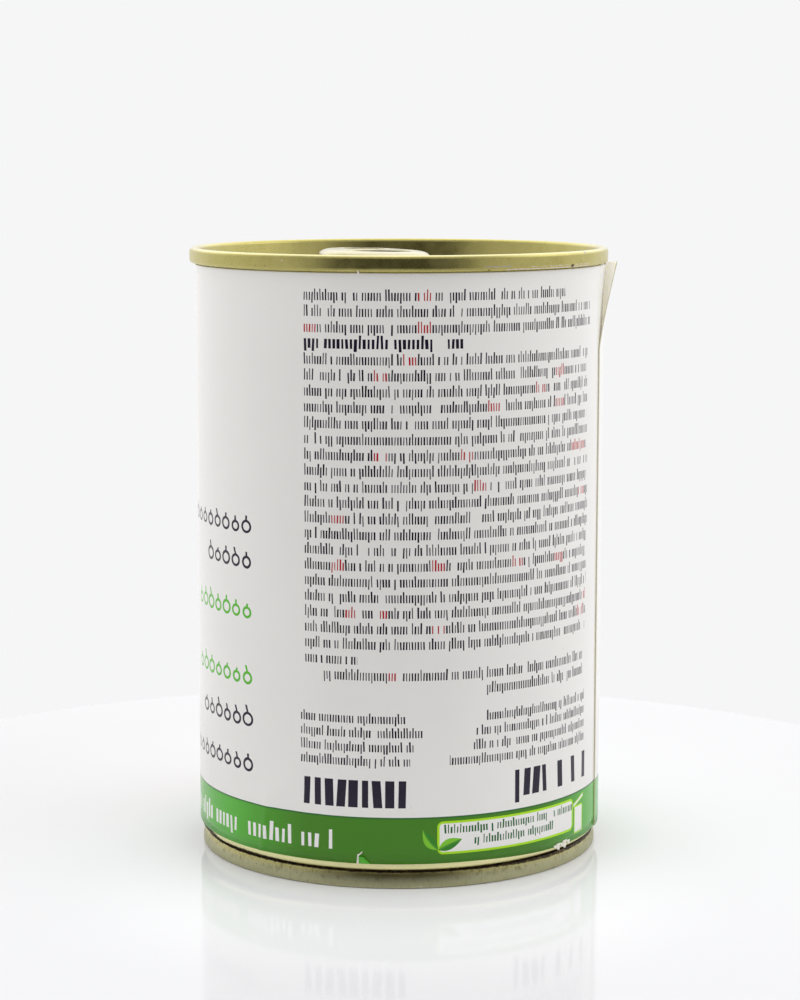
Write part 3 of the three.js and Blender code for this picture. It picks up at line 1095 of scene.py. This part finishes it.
inks = {
    "paper": srgb(236, 234, 231),
    "dark": srgb(28, 22, 44),
    "red": srgb(176, 14, 34),
    "band": srgb(64, 126, 12),
    # pale green ink, also used as a painted sheen towards the sides of the band
    "bandLight": srgb(84, 178, 50),
    "bandEdge": srgb(24, 96, 36),
    "lime": srgb(172, 224, 18),
    "leafDark": srgb(44, 130, 22),
    "leafLight": srgb(122, 196, 40),
    "wordGreen": srgb(88, 182, 40),
    "white": srgb(238, 236, 234),
    "tomato": srgb(202, 34, 18),
    "tomatoDark": srgb(132, 14, 12),
    "shine": srgb(250, 214, 196),
    "yellowed": srgb(214, 204, 168),
    "cutEdge": srgb(222, 214, 176),
}


class Sheet:
    # one part of the printed sheet: its shader tree, its place on the paper and the colour so far
    def __init__(self, name):
        self.material, self.tree, self.shader = newMaterial(name)
        where = place(self.tree, "ShaderNodeUVMap")
        where.uv_map = "labelPrint"
        self.spot = where.outputs["UV"]
        self.across, self.height, _ = axes(self.tree, self.spot)
        self.colour = inks["paper"]

    def add(self, group, **values):
        return useGroup(self.tree, group, across=self.across, height=self.height, **values)

    def paint(self, mask, ink):
        self.colour = mixColour(self.tree, mask, self.colour, ink)

    def window(self, left, right, low, high):
        # the limits are millimetres on the sheet, and left and right may change with the height
        sides = (self.across > left) * (self.across < right)
        return sides * (self.height > low) * (self.height < high)

    def marks(self, ink, windows, **values):
        rows = self.add(markRows, **values)
        inside = windows[0]
        for window in windows[1:]:
            inside = inside + window
        self.paint(rows["Mask"] * inside, ink)
        return rows["Accent"] * inside

    def box(self, centreX, centreZ, halfWidth, halfHeight, corner, inset=0.0):
        box = self.add(
            roundBox, centreX=centreX, centreZ=centreZ, halfWidth=halfWidth, halfHeight=halfHeight, corner=corner,
        )
        return (-inset - box["Distance"]).rise(0, 0.06)

    def panel(self, rimInk, rim, *box):
        # a white panel with a coloured rim: box is its middle, half sizes and corner
        self.paint(self.box(*box), inks[rimInk])
        self.paint(self.box(*box, rim), inks["white"])

    def leaf(self, stalkX, stalkZ, angle, length, halfWidth, bend):
        leaf = self.add(
            leafShape, stalkX=stalkX, stalkZ=stalkZ, angle=angle, length=length, halfWidth=halfWidth, bend=bend,
        )
        green = mixColour(self.tree, leaf["Side"].rise(0.35, 0.6), inks["leafDark"], inks["leafLight"])
        self.paint(leaf["Mask"], green)
        self.paint(leaf["Vein"] * 0.6, inks["bandEdge"])

    def tomato(self, centreX, centreZ, radius, turn):
        fruit = self.add(tomatoShape, centreX=centreX, centreZ=centreZ, radius=radius, turn=turn)
        self.paint(fruit["Mask"], mixColour(self.tree, fruit["Depth"], inks["tomato"], inks["tomatoDark"]))
        self.paint(fruit["Shine"] * 0.8, inks["shine"])
        self.paint(fruit["Calyx"], inks["leafDark"])

    def finish(self):
        # fine fibre, faint stains, a few specks and a soft coated sheen
        tree, look = self.tree, paperFinish
        fibre = softNoise(tree, self.spot, 2.2, detail=4)
        stain = softNoise(tree, self.spot, 0.05, detail=2)
        shade = (fibre - 0.5) * 0.02 + (stain - 0.5) * 0.05 + 1.0
        tint = place(tree, "ShaderNodeCombineXYZ", x=shade, y=shade, z=shade)
        colour = mixColour(tree, 1.0, self.colour, tint.outputs[0], blend="MULTIPLY")
        speck = useGroup(tree, flecks, vector=self.spot, cell=11, amount=0.1, fleck=0.025, seed=5)["Mask"]
        plug(tree, mixColour(tree, speck * 0.7, colour, inks["dark"]), self.shader["Base Color"])
        plug(tree, (fibre - 0.5) * 0.1 + look["roughness"], self.shader["Roughness"])
        self.shader["Specular IOR Level"].default_value = look["sheen"]
        relief = fibre * look["fibreHeight"] + softNoise(tree, self.spot, 0.12, detail=2) * look["rollHeight"]
        plug(tree, bumpFrom(tree, relief, look["bump"], mm), self.shader["Normal"])
        return self.material


paperFinish = {
    "roughness": 0.2,
    "sheen": 0.35,
    "bare": srgb(232, 226, 212),
    "bareLight": srgb(242, 238, 230),
    "through": 1.0,       # how much light passes through where it stands off
    "reach": (1.0, 0.85, 0.5),
    "reachScale": 4 * mm,
    "fibreHeight": 0.004,
    "rollHeight": 0.25,
    "bump": 0.25,
}
printShape = {
    "bandTop": 12.95,
    "rowPitch": 2.72,
    "firstRow": 104.5,
    "blockLeft": -16.9,
    "blockRight": 42.6,
    "wordsRight": -28.3,
    "wordSize": 3.1,
    "wordStroke": 0.52,
    "panelEdge": -24,    # where the front panel's part of the sheet begins
    "backEdge": -112,    # where the back's part begins
}


def printBand(sheet):
    # the green band is darker at its top edge; towards the sides of the text side it turns paler, a painted sheen
    top = printShape["bandTop"]
    # painted sheen: the band turns paler away from the front of the text side
    middle = (sheet.across - 5).size().rise(20, 42)
    band = mixColour(sheet.tree, middle, inks["band"], inks["bandLight"])
    band = mixColour(sheet.tree, (top - sheet.height).rise(0.1, 0.5), inks["bandEdge"], band)
    sheet.paint((top - sheet.height).rise(0, 0.08), band)
    sheet.marks(
        inks["white"], [sheet.window(-100, -11.8, 5, 11.6)],
        left=-60, top=10.75, pitch=4.8, rows=1, letter=1.35, weight=0.52, tall=0.3, seed=4,
    )


def makeTextSide():
    sheet = Sheet("printedTextSide")
    shape = printShape
    printBand(sheet)

    # white panel with two leaves, rows of marks and a small open tin
    sheet.panel("lime", 0.42, 22, 9.13, 15.3, 2.97, 1.1)
    sheet.leaf(6.9, 7.0, 2.2, 4.6, 0.85, 0.35)
    sheet.leaf(6.9, 7.0, 0.38, 4.7, 0.9, 0.15)
    sheet.marks(
        inks["bandEdge"], [sheet.window(7.9, 36.9, 9.44, 12), sheet.window(12.9, 31, 6.9, 9.44)],
        left=7.9, top=11.64, pitch=2.2, rows=2, letter=0.55, tall=0.4, seed=8,
    )
    sheet.panel("lime", 0.28, 39.5, 7.8, 1.75, 2.6, 0.35)
    tilt = sheet.height - 11.2 - (sheet.across - 39.5) * 0.35
    near = (2.0 - (sheet.across - 39.5).size()).rise(0, 0.06)
    sheet.paint((0.42 - tilt.size()).rise(0, 0.06) * near, inks["lime"])
    sheet.paint((0.22 - tilt.size()).rise(0, 0.06) * near, inks["white"])

    # the long block: a short first row, a bold fourth one, and a short last one
    pitch, first, left, right = shape["rowPitch"], shape["firstRow"], shape["blockLeft"], shape["blockRight"]

    def rows(start, end, leftEnd, rightEnd):
        return sheet.window(leftEnd, rightEnd, first - end * pitch, first - start * pitch)

    row = ((first - sheet.height) / pitch).floor()
    ragged = whiteNoise(sheet.tree, row, 0.4, 0.7)[0]
    accent = sheet.marks(inks["dark"], [
        rows(0, 1, left, 33.3), rows(1, 3, left, right - ragged), rows(4, 23, left, right - 0.4 - ragged),
        rows(23, 24, left, -7.2), rows(24, 25, -13.3, 40.5), rows(25, 26, 15.8, 40.6),
    ], left=left, top=first, pitch=pitch, rows=26, seed=1)
    sheet.paint(accent, inks["red"])
    sheet.marks(
        inks["dark"], [sheet.window(left, 11.2, 93, 97)],
        left=left, top=first - 3 * pitch + 0.4, pitch=3.2, rows=1, letter=0.76, weight=0.62, seed=2,
    )

    # two groups of four short rows, with bold bars below
    shortRow = ((31.5 - sheet.height) / 2.5).floor()
    lengths = whiteNoise(sheet.tree, shortRow, 3.3, 1.9)
    sheet.marks(inks["dark"], [
        sheet.window(-17.8, 4.6 - lengths[1] * 6, 20, 32), sheet.window(lengths[2] * 12 + 7, 41.5, 20, 32),
    ], left=-17.8, top=31.5, pitch=2.5, rows=4, seed=3)
    sheet.height = sheet.height - (sheet.across > 12) * 0.5
    sheet.marks(
        inks["dark"], [sheet.window(-17.7, 2.2, 12, 21), sheet.window(20.9, 42.1, 12, 21)],
        left=-17.7, top=19.95, pitch=6.7, rows=1, letter=2.15, weight=0.64, tall=1, seed=6,
    )
    return sheet.finish()


# rows of outlined tomatoes: the height of their foot, how many there are and their ink
fruitWords = [
    (60.9, 8, "dark"),
    (54.7, 5, "dark"),
    (45.8, 7, "wordGreen"),
    (34.0, 7, "wordGreen"),
    (26.4, 6, "dark"),
    (18.3, 8, "dark"),
]


def makeFrontPanel():
    sheet = Sheet("printedFront")
    shape = printShape
    printBand(sheet)
    for seed, (base, fruits, ink) in enumerate(fruitWords):
        row = sheet.add(
            fruitRow, right=shape["wordsRight"], base=base, fruits=fruits,
            size=shape["wordSize"], stroke=shape["wordStroke"], seed=seed,
        )
        sheet.paint(row["Mask"], inks[ink])

    # a plain badge above and a bunch of tomatoes below
    sheet.panel("bandLight", 0.8, -72, 86, 11.5, 11.5, 11.5)
    sheet.tomato(-72, 85, 7.2, 0.4)
    sheet.leaf(-84, 49, 2.5, 13, 3.0, 1.2)
    sheet.leaf(-80, 50, 1.1, 12, 2.8, -1.0)
    sheet.tomato(-94, 38, 13, 0.0)
    sheet.tomato(-72, 35, 14, 1.2)
    sheet.tomato(-85, 26, 10.5, 2.3)
    return sheet.finish()


def makeBackPanel():
    sheet = Sheet("printedBack")
    printBand(sheet)

    # a ruled table, a block of rows, a patch of bars and two leaves
    sheet.panel("band", 0.35, -134, 78, 15, 17, 1.2)
    rule = ((sheet.height - 61) / 3.4).share()
    sheet.paint((rule < 0.07) * sheet.window(-148.2, -119.8, 62, 94), inks["band"])
    length = whiteNoise(sheet.tree, ((sheet.height - 61) / 3.4).floor(), 1.3, 0.2)
    sheet.marks(inks["dark"], [
        sheet.window(-147, length[1] * 6 - 138, 61, 94.8), sheet.window(length[2] * 2 - 127, -121, 61, 94.8),
    ], left=-147, top=95, pitch=3.4, rows=10, seed=12)
    sheet.marks(
        inks["dark"], [sheet.window(-178, length[3] * -3 - 154, 40, 98)],
        left=-178, top=97, pitch=printShape["rowPitch"], rows=20, seed=13,
    )
    bars = whiteNoise(sheet.tree, (sheet.across / 0.42).floor(), 7.7, 0.1)[0] > 0.5
    sheet.paint(bars * sheet.window(-147, -124, 24, 42), inks["dark"])
    sheet.leaf(-168, 20, 0.9, 13, 2.8, 0.8)
    sheet.leaf(-168, 20, 2.1, 11, 2.4, 0.6)

    # the outer end of the paper is yellowed along its cut and tinted beige near the top of its loose corner
    end = printAcross(labelShape["sweep"])
    cut = 1 - (sheet.across - end).rise(0.1, 0.5)
    corner = (1 - (sheet.across - end).rise(0.5, 5)) * sheet.height.rise(96, 106)
    sheet.paint((cut * 0.6).most(corner * 0.5), inks["yellowed"])
    return sheet.finish()


def makeBarePaper(name, through):
    # the paper's unprinted side: through is how much light comes through it
    look = paperFinish
    material, tree, shader = newMaterial(name)
    vector = millimetres(tree)
    where = place(tree, "ShaderNodeUVMap")
    where.uv_map = "labelPrint"
    parts = place(tree, "ShaderNodeSeparateXYZ", vector=where.outputs["UV"])
    end = printAcross(labelShape["sweep"])
    cut = 1 - (Flow(tree, parts.outputs["X"]) - end).rise(0.05, 0.9)
    fibre = softNoise(tree, vector, 2.6, detail=4)
    colour = mixColour(tree, fibre.rise(0.3, 0.7), look["bare"], look["bareLight"])
    colour = mixColour(tree, cut * 0.8, colour, inks["cutEdge"])
    plug(tree, colour, shader["Base Color"])
    plug(tree, (fibre - 0.5) * 0.1 + 0.7, shader["Roughness"])
    plug(tree, bumpFrom(tree, fibre, 0.2, mm * 0.1), shader["Normal"])
    shader["Subsurface Weight"].default_value = through
    shader["Subsurface Radius"].default_value = look["reach"]
    shader["Subsurface Scale"].default_value = look["reachScale"]
    return material


thinPaper = makeBarePaper("barePaper", paperFinish["through"])
tornPaper = makeBarePaper("tornPaper", 0)
makeLabelMesh([makeTextSide(), thinPaper, makeFrontPanel(), makeBackPanel(), tornPaper])
print("label done")


# Floor, backdrop, light and camera

studio = {
    "tableRadius": 0.127,
    "tableCentre": (-0.003, 0.004),
    # painted light on the floor: lightest just in front of the tin, darker far off
    "tableNear": srgb(253, 253, 255),
    "tableMid": srgb(243, 243, 245),
    "tableFar": srgb(237, 237, 239),
    "tableRoughness": 0.07,
    "tableSheen": 0.08,
    "backdrop": srgb(246, 246, 247),
    "tent": 1.04,
    "sides": 0.18,    # how much brighter the tent is to the tin's left and right
    "front": 0.4,     # light from the room in front
    "shine": {"sides": 0.66, "behind": 0.4, "above": 0.62, "front": 0.07},    # what the metal mirrors
}


def makeTable():
    bm = bmesh.new()
    bmesh.ops.create_circle(bm, cap_ends=True, segments=256, radius=studio["tableRadius"])
    bmesh.ops.translate(bm, vec=(*studio["tableCentre"], 0), verts=bm.verts)
    mesh = bpy.data.meshes.new("table")
    bm.to_mesh(mesh)
    bm.free()
    table = bpy.data.objects.new("table", mesh)
    scene.collection.objects.link(table)
    material, tree, shader = newMaterial("paleTable")
    vector = millimetres(tree)
    parts = place(tree, "ShaderNodeSeparateXYZ", vector=vector)
    x, y = Flow(tree, parts.outputs["X"]), Flow(tree, parts.outputs["Y"])
    # painted light: the floor's colour is lighter in front of the tin and darker further off
    paintedFarShade = (x * x + y * y).root().rise(60, 115)
    paintedLightPool = (x * x + (y + 40) * (y + 40)).root().rise(28, 62)
    colour = mixColour(tree, paintedLightPool, studio["tableNear"], studio["tableMid"])
    plug(tree, mixColour(tree, paintedFarShade, colour, studio["tableFar"]), shader["Base Color"])
    shader["Roughness"].default_value = studio["tableRoughness"]
    shader["Specular IOR Level"].default_value = studio["tableSheen"]
    mesh.materials.append(material)


def makeWorld():
    world = bpy.data.worlds.new("studio")
    scene.world = world
    world.use_nodes = True
    tree = world.node_tree
    tree.nodes.clear()
    where = place(tree, "ShaderNodeTexCoord")
    parts = place(tree, "ShaderNodeSeparateXYZ", vector=where.outputs["Generated"])
    x, y, z = (Flow(tree, parts.outputs[name]) for name in ("X", "Y", "Z"))
    # the room in front of the tin is dark, and the rest is a white tent
    turn = (x.math("ARCTAN2", -y) + 0.05).size()
    room = (1 - turn.rise(0.5, 0.95)) * z.rise(-0.75, -0.45) * (1 - z.rise(0.5, 0.8))
    tent = turn.rise(0.75, 1.2) * (1 - turn.rise(1.4, 2.0)) * studio["sides"] + studio["tent"]
    tent = tent * (1 - room) + room * studio["front"]
    shine = studio["shine"]
    above = turn.rise(1.6, 2.4) * z.rise(0.12, 0.4) * shine["above"]
    mirrored = turn.rise(1.0, 2.6) * shine["behind"] + above
    mirrored = (mirrored + shine["sides"]) * (1 - room) + room * shine["front"]
    path = place(tree, "ShaderNodeLightPath")
    glossy = Flow(tree, path.outputs["Is Glossy Ray"])
    lit = place(tree, "ShaderNodeBackground", color=(1, 1, 1), strength=tent + (mirrored - tent) * glossy)
    seen = place(tree, "ShaderNodeBackground", color=studio["backdrop"], strength=1.0)
    both = place(tree, "ShaderNodeMixShader", fac=path.outputs["Is Camera Ray"])
    plug(tree, lit.outputs[0], both.inputs[1])
    plug(tree, seen.outputs[0], both.inputs[2])
    out = place(tree, "ShaderNodeOutputWorld")
    plug(tree, both.outputs[0], out.inputs["Surface"])


def softLight(name, spot, size, power):
    lamp = bpy.data.lights.new(name, "AREA")
    lamp.shape = "RECTANGLE"
    lamp.size, lamp.size_y = size
    lamp.energy = power
    light = bpy.data.objects.new(name, lamp)
    light.location = spot
    light.rotation_euler = (Vector((0, 0, 0.06)) - Vector(spot)).to_track_quat("-Z", "Y").to_euler()
    scene.collection.objects.link(light)


camera = {
    "distance": 0.47504,
    "height": 0.12963,
    "pitch": math.radians(7.945),
    "focal": 2598.2,        # in pixels of the 1000 pixel side
    "longSide": 1000,
    "sensor": 36.0,
    "shiftX": 0.0012,
}


def makeCamera():
    data = bpy.data.cameras.new("camera")
    data.sensor_width = camera["sensor"]
    data.lens = camera["focal"] / camera["longSide"] * camera["sensor"]
    data.shift_x = camera["shiftX"]
    data.clip_start, data.clip_end = 0.01, 20
    eye = bpy.data.objects.new("camera", data)
    eye.location = (0, -camera["distance"], camera["height"])
    eye.rotation_euler = (math.pi / 2 - camera["pitch"], 0, 0)
    scene.collection.objects.link(eye)
    scene.camera = eye


makeTable()
makeWorld()
softLight("keyRight", (0.7, 0.05, 0.6), (0.5, 0.5), 0.6)
makeCamera()
scene.view_settings.view_transform = "Standard"
print("studio done")
